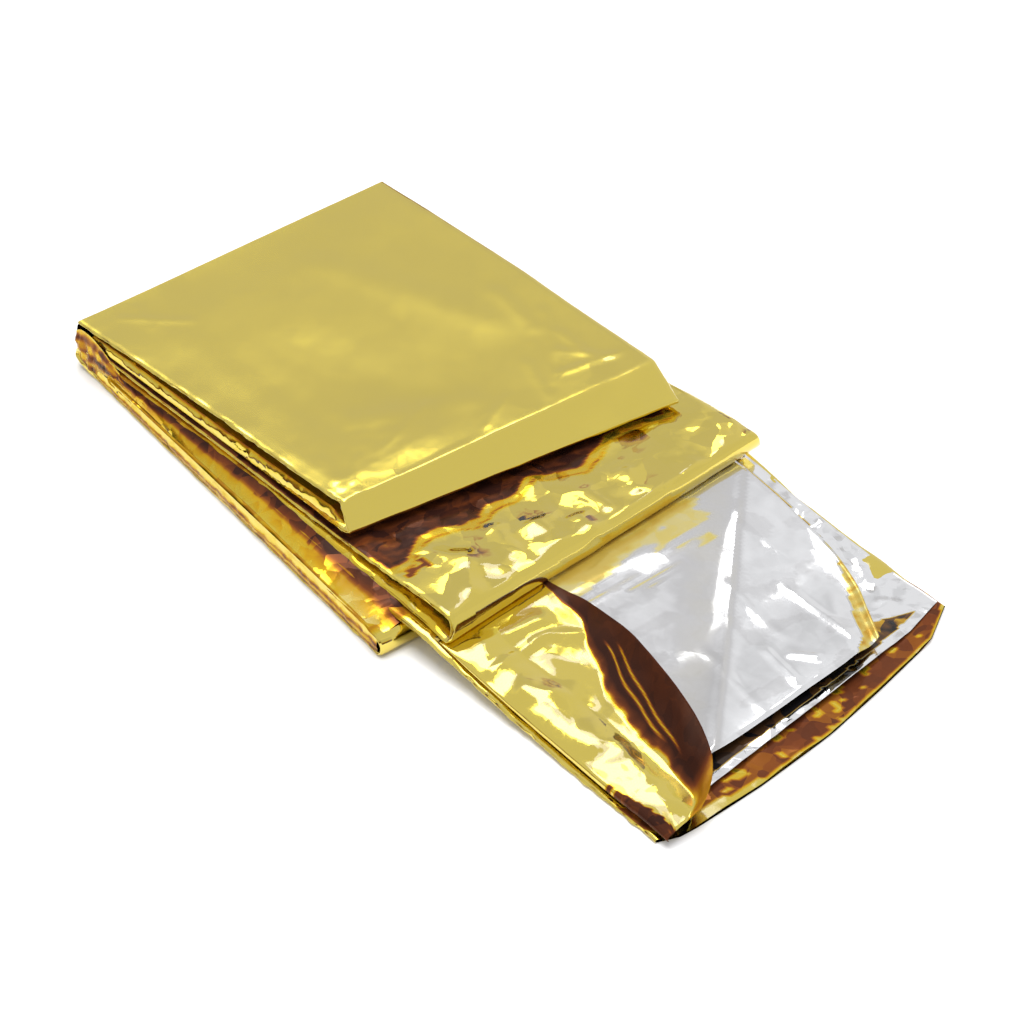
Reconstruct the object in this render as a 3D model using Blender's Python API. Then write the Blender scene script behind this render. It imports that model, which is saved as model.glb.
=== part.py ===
"""Emergency foil blanket, half unfolded, as one folded sheet.

The film is folded lengthwise into a strip, and the strip is folded back and forth into a pack. Its last
run lies out flat, and there the top film is opened: a flap stands up on the left, and the sheet under it
shows. Metres, +Z up, origin at the bottom centre of the bounding box, +X along the strip towards its
open end. The tables are in millimetres, measured from the front left corner of the bottom fold.
"""

import math
from dataclasses import dataclass

import bmesh
import bpy
import numpy as np

MM = 0.001
STRIP_THICKNESS = 1.5  # eight films with the air between them
LEAF_THICKNESS = 1.0  # the top films where they are opened
ACROSS_STEPS = 8  # facets across the strip
RUN_STEP = 23.0  # longest facet along a run
SHORT_STEP = 1.5  # the facet beside a fold
FOLD_STEPS = 7  # facets round a fold
LEAF_STEPS = 12  # facets across each half of the opened film
SLOT = 0.4  # least air between the two halves of the opened film
# The part's origin, seen from the front left corner of the bottom fold.
ORIGIN = (-53.06, 117.48)

GOLD = (0.80, 0.58, 0.16, 1.0)


@dataclass(frozen=True)
class Level:
    """The heights of the middle of every layer of the pack at one place along it."""

    x: float
    bottom: float
    bottom_return: float
    tail: float
    second_return: float
    second: float
    top_return: float
    top: float


LEVELS = (
    Level(-275, 0.75, 6.0, 9.6, 13.8, 17.8, 21.0, 24.0),
    Level(-240, 0.75, 6.6, 10.2, 14.0, 18.0, 21.6, 27.6),
    Level(-180, 0.75, 7.8, 11.4, 14.8, 18.4, 22.4, 29.6),
    Level(-120, 0.75, 9.0, 12.6, 15.8, 19.0, 23.0, 30.2),
    Level(-66, 0.75, 10.4, 13.6, 16.8, 20.0, 24.0, 34.2),
    Level(-30, 0.75, 11.0, 14.2, 17.3, 20.9, 25.0, 34.2),
    Level(0, 0.75, 11.0, 13.8, 17.0, 22.8, 30.0, 40.0),
    Level(14, 0.75, 10.6, 13.1, 16.3, 24.6, 30.0, 40.0),
    Level(25, 0.75, 10.0, 11.6, 15.2, 24.6, 30.0, 40.0),
    Level(46, 0.75, 5.0, 7.6, 15.2, 24.6, 30.0, 40.0),
    Level(70, 0.75, 1.0, 4.6, 15.2, 24.6, 30.0, 40.0),
    Level(92, 0.75, 0.8, 2.2, 15.2, 24.6, 30.0, 40.0),
    Level(114, 0.75, 0.8, 0.75, 15.2, 24.6, 30.0, 40.0),
)


@dataclass(frozen=True)
class Line:
    """A line across one layer, at that layer's height unless it has heights of its own. A turn makes a
    fold after it, which reaches that far forwards, or backwards if it is negative."""

    layer: str
    left_x: float
    left_y: float
    right_x: float
    right_y: float
    turn: float = 0.0
    left_z: float | None = None
    right_z: float | None = None


# In the order of the film, from the free end on top of the pack to the open end.
STRIP = (
    Line("top", -277, 32, -279, 230),
    Line("top", -170, 33, -165, 228),
    Line("top", -67, 33, -57, 222, left_z=34.0, right_z=34.0),
    Line("top", -60, 30, -32, 217, turn=1.8, left_z=27.2, right_z=27.6),
    Line("top_return", -60, 29, -32, 217, left_z=24.4, right_z=24.8),
    Line("top_return", -160, 31, -150, 226),
    Line("top_return", -268, 30, -270, 230, turn=-3.5),
    Line("second", -268, 28, -270, 231),
    Line("second", -60, 27, -50, 230),
    Line("second", 15, 24, 12, 229, turn=3.5),
    Line("second_return", 24, 20, 14, 234),
    Line("second_return", -120, 27, -116, 232),
    Line("second_return", -262, 28, -262, 231, turn=-20.0),
    Line("bottom", -262, 27, -258, 228),
    Line("bottom", -3, 1, 7, 200, turn=3.5),
    Line("bottom_return", -4, 1, 6, 200),
    Line("bottom_return", -120, 15, -112, 214),
    Line("bottom_return", -248, 26, -246, 227, turn=-3.5),
    Line("tail", -248, 27, -246, 228),
    Line("tail", -120, 22, -112, 226),
    Line("tail", -4, 15, 8, 224),
    Line("tail", 26, 15.6, 26, 223),
)
# The lines across the rest of the tail, under the opened film; the last one is the open end.
TAIL_REST = (
    Line("tail", 31, 15.8, 31, 222.6),
    Line("tail", 46, 16, 48, 222),
    Line("tail", 100, 16, 100, 223),
    Line("tail", 171, 14, 147, 222),
)


@dataclass(frozen=True)
class Opening:
    """A section across the opened film: a sheet from its free right edge to the fold at the left, and the
    flap from that fold to the place where it bends up, and on to its own free edge."""

    x: float
    left_y: float
    fold_low: float
    fold_high: float
    bend_y: float
    flap_y: float
    flap_z: float
    sheet_y: float
    sheet_z: float


OPENED = (
    Opening(31.0, 18.0, 12.1, 13.5, 80.0, 85.0, 14.0, 214.0, 12.0),
    Opening(38.0, 18.0, 10.9, 12.9, 78.5, 86.0, 15.4, 214.0, 10.9),
    Opening(46.0, 18.0, 9.8, 12.2, 77.0, 86.5, 16.8, 213.5, 9.9),
    Opening(58.0, 18.0, 8.7, 11.2, 74.0, 86.0, 18.6, 212.5, 8.8),
    Opening(70.0, 18.0, 7.6, 10.2, 70.0, 85.0, 20.6, 211.0, 8.0),
    Opening(83.0, 18.0, 6.4, 9.4, 62.0, 83.0, 22.4, 208.0, 7.2),
    Opening(96.0, 18.0, 5.4, 8.8, 55.0, 80.0, 23.6, 204.0, 6.6),
    Opening(110.0, 18.0, 4.7, 8.4, 48.0, 76.0, 24.4, 198.0, 6.2),
    Opening(124.0, 17.5, 4.2, 8.0, 44.0, 72.0, 24.4, 191.0, 6.0),
    Opening(139.0, 17.0, 3.9, 8.0, 43.0, 66.5, 23.4, 182.0, 6.0),
    Opening(153.0, 17.0, 3.7, 8.0, 43.0, 61.0, 20.5, 174.0, 6.0),
    Opening(155.5, 17.0, 3.7, 7.9, 43.0, 60.0, 20.0, 22.0, 4.0),
    Opening(164.0, 16.5, 3.6, 7.0, 38.0, 54.0, 16.0, 20.0, 3.8),
    Opening(171.0, 16.0, 3.6, 6.0, 30.0, 44.0, 11.0, 19.0, 3.8),
    Opening(176.0, 16.0, 3.6, 5.4, 22.0, 31.0, 7.0, 19.0, 3.8),
)
RIDGE_START = (26.0, 205.0)  # the ridge that runs across the opened sheet
RIDGE_END = (153.0, 62.0)
RIDGE_HEIGHT = 2.4
RIDGE_HALF_WIDTH = 11.0
MOUTH_HEIGHT = 5.0  # how far the opened sheet's near edge is lifted in its middle
MOUTH_START_X = 70.0


def smooth_step(value):
    value = min(1.0, max(0.0, value))
    return value * value * (3 - 2 * value)


def level(layer, x):
    """The height of a layer's middle at x."""
    return np.interp(x, [row.x for row in LEVELS], [getattr(row, layer) for row in LEVELS])


def unevenness(x, y, z):
    """How far the layers wave up and down together; nothing near the surface they rest on."""
    wave = math.sin(x / 31 + y / 57) + 0.7 * math.sin(y / 23 - x / 71 + 1.3) + 0.5 * math.sin(x / 17 - y / 19)
    return 0.35 * wave * smooth_step((z - 4) / 14)


def place(line):
    """The points across a line, each at its layer's height."""
    points = []
    for step in range(ACROSS_STEPS + 1):
        share = step / ACROSS_STEPS
        x = line.left_x + (line.right_x - line.left_x) * share
        y = line.left_y + (line.right_y - line.left_y) * share
        z = level(line.layer, x)
        if line.left_z is not None:
            z = line.left_z + (line.right_z - line.left_z) * share
        points.append((x, y, z + unevenness(x, y, z)))
    return np.array(points)


def run(start, end):
    """The points of a run, with a short step at each end of it, beside the folds."""
    length = max(abs(end.left_x - start.left_x), abs(end.right_x - start.right_x))
    steps = math.ceil(length / RUN_STEP)
    shares = sorted({SHORT_STEP / length, 1 - SHORT_STEP / length, *(i / steps for i in range(1, steps + 1))})
    if start.left_z is not None or end.left_z is not None:
        first, last = place(start), place(end)
        return [first + (last - first) * share for share in shares]
    names = ("left_x", "left_y", "right_x", "right_y")
    places = [[getattr(start, n) * (1 - t) + getattr(end, n) * t for n in names] for t in shares]
    return [place(Line(start.layer, *values)) for values in places]


def fold(start, end, reach):
    """The points of a fold: half an ellipse that leans from the one line to the other."""
    lines = []
    for step in range(1, FOLD_STEPS):
        angle = math.pi * step / FOLD_STEPS
        line = start + (end - start) * (1 - math.cos(angle)) / 2
        line[:, 0] += reach * math.sin(angle)
        lines.append(line)
    return lines


def strip_points():
    """The points of all lines across the strip, in the order of the film."""
    lines = [place(STRIP[0])]
    for start, end in zip(STRIP, STRIP[1:]):
        if start.turn:
            lines += fold(place(start), place(end), start.turn) + [place(end)]
            continue
        lines += run(start, end)
    return lines


def lines_under_opening():
    """The lines across the tail that go with the sections of the opened film."""
    names = ("left_x", "left_y", "right_x", "right_y")
    given = [row.left_x for row in TAIL_REST]
    wanted = np.interp([row.x for row in OPENED], [OPENED[0].x, OPENED[-1].x], [given[0], given[-1]])
    columns = [np.interp(wanted, given, [getattr(row, name) for row in TAIL_REST]) for name in names]
    return [Line("tail", *values) for values in zip(*columns)]


def in_part_frame(points):
    return (np.asarray(points) - np.array([ORIGIN[0], ORIGIN[1], 0.0])) * MM


def offset(line, distance):
    """A line of a section, moved sideways within the section; to the left of its direction."""
    direction = np.gradient(line, axis=0)
    direction /= np.linalg.norm(direction, axis=1, keepdims=True)
    return line + np.stack((-direction[:, 1], direction[:, 0]), axis=1) * distance


def sheet_line(row):
    """The middle of the opened sheet, from the left fold to its free edge, with the ridge and the mouth."""
    along = (row.x - RIDGE_START[0]) / (RIDGE_END[0] - RIDGE_START[0])
    ridge_y = RIDGE_START[1] + (RIDGE_END[1] - RIDGE_START[1]) * along
    width = row.sheet_y - row.left_y
    opened = smooth_step((row.x - MOUTH_START_X) / (RIDGE_END[0] - MOUTH_START_X))
    opened *= smooth_step(width / 100)
    points = []
    for step in range(LEAF_STEPS + 1):
        share = step / LEAF_STEPS
        y = row.left_y + width * share
        ridge = RIDGE_HEIGHT * math.exp(-(((y - ridge_y) / RIDGE_HALF_WIDTH) ** 2)) * smooth_step(along * 5)
        lift = MOUTH_HEIGHT * opened * math.sin(math.pi * share) ** 2
        points.append((y, row.fold_low + (row.sheet_z - row.fold_low) * share + ridge + lift))
    return np.array(points)


def flap_line(row):
    """The middle of the flap, from the left fold to the bend and up to its free edge."""
    points = []
    half = LEAF_STEPS // 2
    for step in range(LEAF_STEPS + 1):
        flat, rise = min(1.0, step / half), max(0.0, (step - half) / (LEAF_STEPS - half))
        y = row.left_y + (row.bend_y - row.left_y) * flat + (row.flap_y - row.bend_y) * rise
        points.append((y, row.fold_high + 0.6 * flat + (row.flap_z - row.fold_high - 0.6) * rise**1.4))
    return np.array(points)


@dataclass(frozen=True)
class Sheet:
    """The corners of one line across a sheet, from its left end to its right one."""

    bottom: list
    top: list


def opened_sheets(row):
    """The opened sheet and the flap at one section."""
    sheet, flap = sheet_line(row), flap_line(row)
    sheet_top, sheet_bottom = offset(sheet, LEAF_THICKNESS / 2), offset(sheet, -LEAF_THICKNESS / 2)
    flap_top, flap_bottom = offset(flap, LEAF_THICKNESS / 2), offset(flap, -LEAF_THICKNESS / 2)
    # Where the flap would reach into the sheet, it lies a slot above it.
    floor = np.interp(flap_bottom[:, 0], sheet_top[:, 0], sheet_top[:, 1]) + SLOT
    flap_bottom[:, 1] = np.maximum(flap_bottom[:, 1], floor)
    flap_top[:, 1] = np.maximum(flap_top[:, 1], flap_bottom[:, 1] + LEAF_THICKNESS)

    def in_place(section):
        return [(row.x, y, z) for y, z in section]

    return [Sheet(in_place(b), in_place(t)) for b, t in ((sheet_bottom, sheet_top), (flap_bottom, flap_top))]


def strip_sheets():
    """The sheets at every line across the strip: one in the pack, three where the film is opened."""
    middle = np.array(strip_points() + [place(line) for line in lines_under_opening()])
    normal = np.cross(np.gradient(middle, axis=0), np.gradient(middle, axis=1))
    half = normal / np.linalg.norm(normal, axis=2, keepdims=True) * STRIP_THICKNESS / 2
    sheets = [[Sheet(list(low), list(high))] for low, high in zip(middle - half, middle + half)]
    for stack, row in zip(sheets[-len(OPENED) :], OPENED):
        stack += opened_sheets(row)
    return sheets


def bead(stack):
    """The points down the left side of a stack of sheets, which joins them."""
    if len(stack) == 1:
        return []
    high, low = np.array(stack[-1].top[0]), np.array(stack[0].bottom[0])
    radius = (high[2] - low[2]) / 2
    points = []
    for share in (0.25, 0.5, 0.75):
        point = high + (low - high) * share
        point[1] -= radius * 0.5 * math.sin(math.pi * share)
        points.append(point)
    return points


class Body:
    """One closed body, made of a ring of corners round every stack of sheets."""

    def __init__(self):
        self.mesh = bmesh.new()

    def ring(self, stack):
        """The corners of a stack: bottom and top of every sheet in turn, then down the left side."""

        def corners(points):
            return [self.mesh.verts.new(in_part_frame(point)) for point in points]

        return [Sheet(corners(sheet.bottom), corners(sheet.top)) for sheet in stack], corners(bead(stack))

    def face(self, *corners):
        self.mesh.faces.new(corners)

    def loop(self, ring):
        sheets, side = ring
        corners = []
        for sheet in sheets:
            corners += sheet.bottom + sheet.top[::-1]
        return corners + side

    def connect(self, ring, following):
        """Faces between two rings of as many corners."""
        before, after = self.loop(ring), self.loop(following)
        for i, corner in enumerate(before):
            self.face(before[i - 1], corner, after[i], after[i - 1])

    def open_up(self, ring, following):
        """Faces between the last ring of one sheet and the first one of several, whose slots all begin in
        one corner: the single sheet's upper right one."""
        single, (sheets, side) = ring[0][0], following
        corner, last = single.top[-1], len(single.top) - 1
        for k in range(last):
            self.face(single.bottom[k], single.bottom[k + 1], sheets[0].bottom[k + 1], sheets[0].bottom[k])
        self.face(single.bottom[-1], corner, sheets[0].top[-1], sheets[0].bottom[-1])
        fan = sheets[0].top[::-1]
        for sheet in sheets[1:-1]:
            fan += sheet.bottom + sheet.top[::-1]
        fan += sheets[-1].bottom + [sheets[-1].top[-1]]
        for a, b in zip(fan, fan[1:]):
            self.face(corner, b, a)
        flap, steps = sheets[-1].top, len(sheets[-1].top) - 1
        nearest = [round(last * k / steps) for k in range(steps + 1)]
        for k in range(steps, 0, -1):
            here, there = single.top[nearest[k]], single.top[nearest[k - 1]]
            if here is there:
                self.face(here, flap[k - 1], flap[k])
            else:
                self.face(here, there, flap[k - 1], flap[k])
        down = [flap[0], *side, sheets[0].bottom[0]]
        for a, b in zip(down, down[1:]):
            self.face(single.top[0], b, a)
        self.face(single.top[0], single.bottom[0], sheets[0].bottom[0])

    def close(self, ring, is_last):
        """The end faces on a ring: one per facet of each sheet, and one on the side that joins them."""
        sheets, side = ring
        loops = []
        for sheet in sheets:
            pairs = list(zip(sheet.bottom, sheet.top))
            loops += [(a, c, d, b) for (a, b), (c, d) in zip(pairs, pairs[1:])]
        if side:
            joints = []
            for sheet in sheets:
                joints += [sheet.bottom[0], sheet.top[0]]
            loops.append((*joints, *side))
        for loop in loops:
            self.face(*(loop if is_last else loop[::-1]))

    def finish(self, name):
        self.mesh.normal_update()
        bmesh.ops.triangulate(self.mesh, faces=self.mesh.faces)
        data = bpy.data.meshes.new(name)
        self.mesh.to_mesh(data)
        self.mesh.free()
        solid = bpy.data.objects.new(name, data)
        bpy.context.scene.collection.objects.link(solid)
        return solid


def make_blanket():
    """The whole folded sheet, as one closed body."""
    body = Body()
    stacks = strip_sheets()
    rings = [body.ring(stack) for stack in stacks]
    for ring, following in zip(rings, rings[1:]):
        if len(ring[0]) == len(following[0]):
            body.connect(ring, following)
        else:
            body.open_up(ring, following)
    body.close(rings[0], is_last=False)
    body.close(rings[-1], is_last=True)
    return body.finish("foil_blanket")


def gold_film():
    """The gold side of the film, which is outside all over the pack."""
    material = bpy.data.materials.new("gold film")
    material.use_nodes = True
    shader = material.node_tree.nodes["Principled BSDF"]
    shader.inputs["Base Color"].default_value = GOLD
    shader.inputs["Metallic"].default_value = 1.0
    shader.inputs["Roughness"].default_value = 0.15
    return material


def main():
    for old in list(bpy.data.objects):
        bpy.data.objects.remove(old, do_unlink=True)
    blanket = make_blanket()
    blanket.data.materials.append(gold_film())


main()
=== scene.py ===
"""The looks of an emergency foil blanket, half unfolded, on a pale floor.

The blanket is one film, gold on one side and silver on the other. It is folded lengthwise into a strip of
eight layers, and the strip is folded back and forth into a pack. Its last run, the tail, lies out flat and is
opened: a flap stands up on the left, and silver sheets show beside it.

Lengths in the tables are in millimetres, measured from the front left corner of the pack's bottom fold, with
+X along the strip towards its open end, +Y across it and +Z up. Film that lies deep in a fold mirrors film
over and over, so it looks darker and browner; that shade and reflection is painted into its colour, and its
tone says by how much.
"""

import logging
import math
from dataclasses import dataclass
from enum import Enum

import bpy
import numpy as np
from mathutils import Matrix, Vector

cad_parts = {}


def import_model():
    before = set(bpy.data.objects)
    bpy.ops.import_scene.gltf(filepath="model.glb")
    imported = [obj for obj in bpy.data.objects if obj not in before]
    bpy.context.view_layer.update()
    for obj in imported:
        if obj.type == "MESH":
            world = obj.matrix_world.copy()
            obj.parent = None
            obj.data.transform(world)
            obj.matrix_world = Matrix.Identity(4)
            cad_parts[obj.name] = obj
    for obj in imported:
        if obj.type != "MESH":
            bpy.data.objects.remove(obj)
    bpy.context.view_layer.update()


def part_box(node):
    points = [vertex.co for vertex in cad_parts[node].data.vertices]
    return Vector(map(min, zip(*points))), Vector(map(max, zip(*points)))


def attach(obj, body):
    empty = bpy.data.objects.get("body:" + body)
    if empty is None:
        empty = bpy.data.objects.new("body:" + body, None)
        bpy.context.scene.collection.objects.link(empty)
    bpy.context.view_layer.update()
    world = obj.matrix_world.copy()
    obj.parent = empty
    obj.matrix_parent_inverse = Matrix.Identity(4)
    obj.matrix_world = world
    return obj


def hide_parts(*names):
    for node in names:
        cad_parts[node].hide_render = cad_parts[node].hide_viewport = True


MM = 0.001
NODE = "foil_blanket"
LOG = logging.getLogger("foil_blanket")

# The box's lowest corner, in the tables' measure: the back fold's reach and the bottom fold's left corner.
BOX_LOW = (-282.17, 0.92)


# --------------------------------------------------------------------------------------------- shader maths


class Wire:
    """A node socket that can be used in Python expressions; each operator adds a Math node."""

    def __init__(self, shader: "Shader", socket: bpy.types.NodeSocket) -> None:
        """Wraps an output socket of a shader's tree."""
        self.shader = shader
        self.socket = socket

    def math(self, operation: str, *values: "Wire | float") -> "Wire":
        """Adds a Math node.

        Args:
            operation: The Math node's operation.
            values: Its inputs in order.

        Returns:
            The node's result.
        """
        return self.shader.node("ShaderNodeMath", {"operation": operation}, dict(enumerate(values)))

    def __add__(self, other: "Wire | float") -> "Wire":
        """The sum."""
        return self.math("ADD", self, other)

    __radd__ = __add__

    def __mul__(self, other: "Wire | float") -> "Wire":
        """The product."""
        return self.math("MULTIPLY", self, other)

    __rmul__ = __mul__

    def __sub__(self, other: "Wire | float") -> "Wire":
        """The difference."""
        return self.math("SUBTRACT", self, other)

    def __rsub__(self, other: "Wire | float") -> "Wire":
        """The difference, from a number."""
        return self.math("SUBTRACT", other, self)

    def __pow__(self, power: "Wire | float") -> "Wire":
        """The power."""
        return self.math("POWER", self, power)

    def between(self, low: float, high: float, soft: float) -> "Wire":
        """Finds where a value lies between two others, with soft ends.

        Args:
            low: Where it begins.
            high: Where it ends.
            soft: How wide its soft ends are.

        Returns:
            1 between the two values and 0 outside them.
        """
        rises = {"From Min": low - soft / 2, "From Max": low + soft / 2, "Value": self}
        falls = {"From Min": high + soft / 2, "From Max": high - soft / 2, "Value": self}
        return self.shader.node("ShaderNodeMapRange", inputs=rises) * self.shader.node(
            "ShaderNodeMapRange", inputs=falls
        )


class Shader:
    """Adds nodes to one node tree."""

    def __init__(self, tree: bpy.types.NodeTree) -> None:
        """Starts on an existing tree and clears it."""
        self.tree = tree
        tree.nodes.clear()

    def node(
        self,
        kind: str,
        settings: dict[str, object] | None = None,
        inputs: "dict[str | int, Wire | float | tuple] | None" = None,
        output: str | int = 0,
    ) -> Wire:
        """Adds a node of any type.

        Args:
            kind: The node's type name.
            settings: Its properties, set before its sockets; "stops" holds a ramp's positions and colours.
            inputs: Values or links by socket name or number.
            output: The socket to return.

        Returns:
            The chosen output.
        """
        made = self.tree.nodes.new(kind)
        for name, value in (settings or {}).items():
            if name == "stops":
                self.set_stops(made.color_ramp, value)
            else:
                setattr(made, name, value)
        for name, value in (inputs or {}).items():
            if isinstance(value, Wire):
                self.tree.links.new(value.socket, made.inputs[name])
            else:
                made.inputs[name].default_value = value
        return Wire(self, made.outputs[output]) if len(made.outputs) else Wire(self, None)

    def mix(self, factor: Wire, below: Wire | tuple, above: Wire | tuple) -> Wire:
        """A colour between two others."""
        return self.node("ShaderNodeMix", {"data_type": "RGBA"}, {"Factor": factor, 6: below, 7: above}, 2)

    def vector(self, operation: str, inputs: "dict[str | int, Wire | float | tuple]") -> Wire:
        """Adds a Vector Math node."""
        return self.node("ShaderNodeVectorMath", {"operation": operation}, inputs)

    @staticmethod
    def set_stops(ramp: bpy.types.ColorRamp, stops: list[tuple[float, tuple]]) -> None:
        """Gives a colour ramp its stops, as positions and colours."""
        while len(ramp.elements) > 1:
            ramp.elements.remove(ramp.elements[-1])
        for i, (position, colour) in enumerate(stops):
            element = ramp.elements[0] if i == 0 else ramp.elements.new(position)
            element.position = position
            element.color = (*colour, 1.0)


# ------------------------------------------------------------------------------------------------- finishes


@dataclass(frozen=True)
class FilmFinish:
    """One side of the film: a mirror coating under a clear one, with the fine wrinkles that meshes are too
    coarse for.

    Its tones are colours of painted shade and reflection, from the depth of a fold, at 0, where film mirrors
    film over and over, to the open, at 1, where they are the finish's own colour; the silver's golden tones
    also stand for the gold side where a film rolls over. Crumpled film is made of small flat facets of two
    sizes, each tilted its own way.
    """

    name: str
    tones: tuple[tuple[float, tuple[float, float, float]], ...]
    haze: float
    wrinkle_depth: float
    specular: float
    edge_tint: tuple[float, float, float]
    roughness: float = 0.03
    depth_roughness: float = 0.1
    cloud_roughness: float = 0.04
    coat_roughness: float = 0.04
    coat_ior: float = 1.7
    coat_falloff: float = 6.0
    haze_falloff: float = 3.0
    deep_metal: float = 0.3
    open_metal: float = 0.75
    cloud_scale: float = 14.0
    cloud_tone: float = 0.05
    grain_scale: float = 160.0
    wander_scale: float = 45.0
    wander_reach: float = 0.02
    facet_scale: float = 50.0
    facet_tilt: float = 0.34
    small_facet_scale: float = 140.0
    small_facet_tilt: float = 0.085
    # How much small facets vary the painted shade and reflection.
    small_facet_painted_reflection: float = 1.4

    def material(self) -> bpy.types.Material:
        """Makes the material.

        Returns:
            A material whose colour, roughness and fine wrinkles vary over the film; its colour paints shade
            and reflection by the tone.
        """
        material = bpy.data.materials.new(self.name)
        material.use_nodes = True
        shader = Shader(material.node_tree)
        place = shader.node("ShaderNodeTexCoord", output="Object")
        crumple = shader.node("ShaderNodeAttribute", {"attribute_name": "crumple"}, output="Fac")
        tone = shader.node("ShaderNodeAttribute", {"attribute_name": "tone"}, output="Fac")
        noise = {"Vector": place, "Scale": self.cloud_scale, "Detail": 3.0}
        clouds = shader.node("ShaderNodeTexNoise", inputs=noise)
        large, small = self.facets(shader, place)
        # Small facets vary the tone where film is half shaded and crumpled: painted reflections of the
        # crumples.
        patch = shader.node("ShaderNodeSeparateXYZ", inputs={0: small}, output="X") - 0.5
        shaded = (1 - tone) * (tone + 0.25) * crumple
        tone = tone + patch * shaded * self.small_facet_painted_reflection
        shift = (clouds - 0.5) * self.cloud_tone
        surface = shader.node(
            "ShaderNodeBsdfPrincipled",
            inputs={
                # The base colour paints shade and reflection by the tone.
                "Base Color": shader.node("ShaderNodeValToRGB", {"stops": self.tones}, {"Fac": tone + shift}),
                "Metallic": tone * tone * self.open_metal + self.deep_metal,
                "Roughness": (1 - crumple) ** self.haze_falloff * self.haze
                + clouds * self.cloud_roughness
                + (1 - tone) * self.depth_roughness
                + self.roughness,
                "Coat Weight": tone**self.coat_falloff,
                "Coat Roughness": self.coat_roughness,
                "Coat IOR": self.coat_ior,
                "Specular IOR Level": self.specular,
                "Specular Tint": (*self.edge_tint, 1.0),
                "Normal": self.normal(shader, place, crumple, large, small),
            },
        )
        shader.node("ShaderNodeOutputMaterial", inputs={"Surface": surface})
        return material

    def facets(self, shader: Shader, place: Wire) -> list[Wire]:
        """Adds the large facets and the small ones, with uneven outlines.

        Args:
            shader: The material's tree.
            place: The place on the object.

        Returns:
            The large facets and the small ones, each as one random colour a facet.
        """
        noise = {"Vector": place, "Scale": self.wander_scale, "Detail": 2.0}
        wander = shader.node("ShaderNodeTexNoise", inputs=noise, output="Color")
        wander = shader.vector("SCALE", {0: wander, "Scale": self.wander_reach})
        bent = shader.vector("ADD", {0: place, 1: wander})
        return [
            shader.node("ShaderNodeTexVoronoi", inputs={"Vector": bent, "Scale": scale}, output="Color")
            for scale in (self.facet_scale, self.small_facet_scale)
        ]

    def normal(self, shader: Shader, place: Wire, crumple: Wire, large: Wire, small: Wire) -> Wire:
        """Adds the fine grain of the film and the tilt of its facets.

        Args:
            shader: The material's tree.
            place: The place on the object.
            crumple: How crumpled the film is.
            large: The large facets.
            small: The small facets.

        Returns:
            The normal.
        """
        grain = {"Vector": place, "Scale": self.grain_scale, "Detail": 2.0}
        grain = shader.node("ShaderNodeTexNoise", inputs=grain)
        bump = {"Height": grain, "Strength": 1.0, "Distance": self.wrinkle_depth}
        normal = shader.node("ShaderNodeBump", inputs=bump)
        for cells, tilt in ((large, self.facet_tilt), (small, self.small_facet_tilt)):
            centred = shader.vector("SUBTRACT", {0: cells, 1: (0.5, 0.5, 0.5)})
            tilted = shader.vector("SCALE", {0: centred, "Scale": crumple * tilt})
            normal = shader.vector("ADD", {0: normal, 1: tilted})
        return shader.vector("NORMALIZE", {0: normal})


@dataclass(frozen=True)
class FloorFinish:
    """The pale floor under the blanket."""

    colour: tuple[float, float, float] = (0.93, 0.93, 0.93)

    def material(self) -> bpy.types.Material:
        """Makes the floor's material.

        Returns:
            A plain pale material.
        """
        material = bpy.data.materials.new("pale floor")
        material.use_nodes = True
        shader = Shader(material.node_tree)
        surface = shader.node("ShaderNodeBsdfDiffuse", inputs={"Color": (*self.colour, 1.0)})
        shader.node("ShaderNodeOutputMaterial", inputs={"Surface": surface})
        return material


# Tones below the top of each ramp paint shade and reflection: browns deep in the folds, and in the silver also
# the gold mirrored in it; the silver's golds also give the gold side where it rolls over.
GOLD = FilmFinish(
    name="gold film",
    tones=(
        (0.0, (0.040, 0.014, 0.010)),
        (0.25, (0.170, 0.045, 0.014)),
        (0.45, (0.360, 0.130, 0.012)),
        (0.65, (0.600, 0.340, 0.010)),
        (0.85, (0.680, 0.490, 0.030)),
        (0.97, (0.735, 0.572, 0.063)),
    ),
    haze=0.15,
    wrinkle_depth=0.00003,
    specular=0.12,
    edge_tint=(1.0, 0.92, 0.70),
)
SILVER = FilmFinish(
    name="silver film",
    tones=(
        (0.0, (0.012, 0.011, 0.012)),
        (0.2, (0.110, 0.050, 0.016)),
        (0.42, (0.480, 0.270, 0.020)),
        (0.6, (0.620, 0.500, 0.130)),
        (0.66, (0.640, 0.560, 0.260)),
        (0.74, (0.560, 0.545, 0.500)),
        (0.9, (0.620, 0.615, 0.620)),
        (0.98, (0.880, 0.885, 0.895)),
    ),
    haze=0.03,
    wrinkle_depth=0.000025,
    specular=0.5,
    edge_tint=(1.0, 0.98, 0.95),
)


class Side(Enum):
    """Which finish a face of the film takes."""

    GOLD = 0
    SILVER = 1


Finishes = dict[Side, bpy.types.Material]


# ------------------------------------------------------------------------------------------ wrinkle heights


def smooth(value: np.ndarray | float) -> np.ndarray:
    """A soft step from 0 to 1 over values from 0 to 1."""
    value = np.clip(value, 0.0, 1.0)
    return value * value * (3 - 2 * value)


def waves(x: np.ndarray, y: np.ndarray, seed: int, length: float, count: int = 6) -> np.ndarray:
    """Soft uneven waves.

    Args:
        x: Places along.
        y: Places across.
        seed: Chooses one pattern of many.
        length: The usual distance between two crests.
        count: How many waves are added.

    Returns:
        Heights of about -1 to 1.
    """
    random = np.random.default_rng(seed)
    total = np.zeros(np.broadcast(x, y).shape)
    for _ in range(count):
        angle, phase = random.uniform(0, math.tau, 2)
        pitch = length * random.uniform(0.65, 1.6)
        total += np.sin(math.tau * (x * math.cos(angle) + y * math.sin(angle)) / pitch + phase)
    return total / math.sqrt(count) / 1.2


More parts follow.
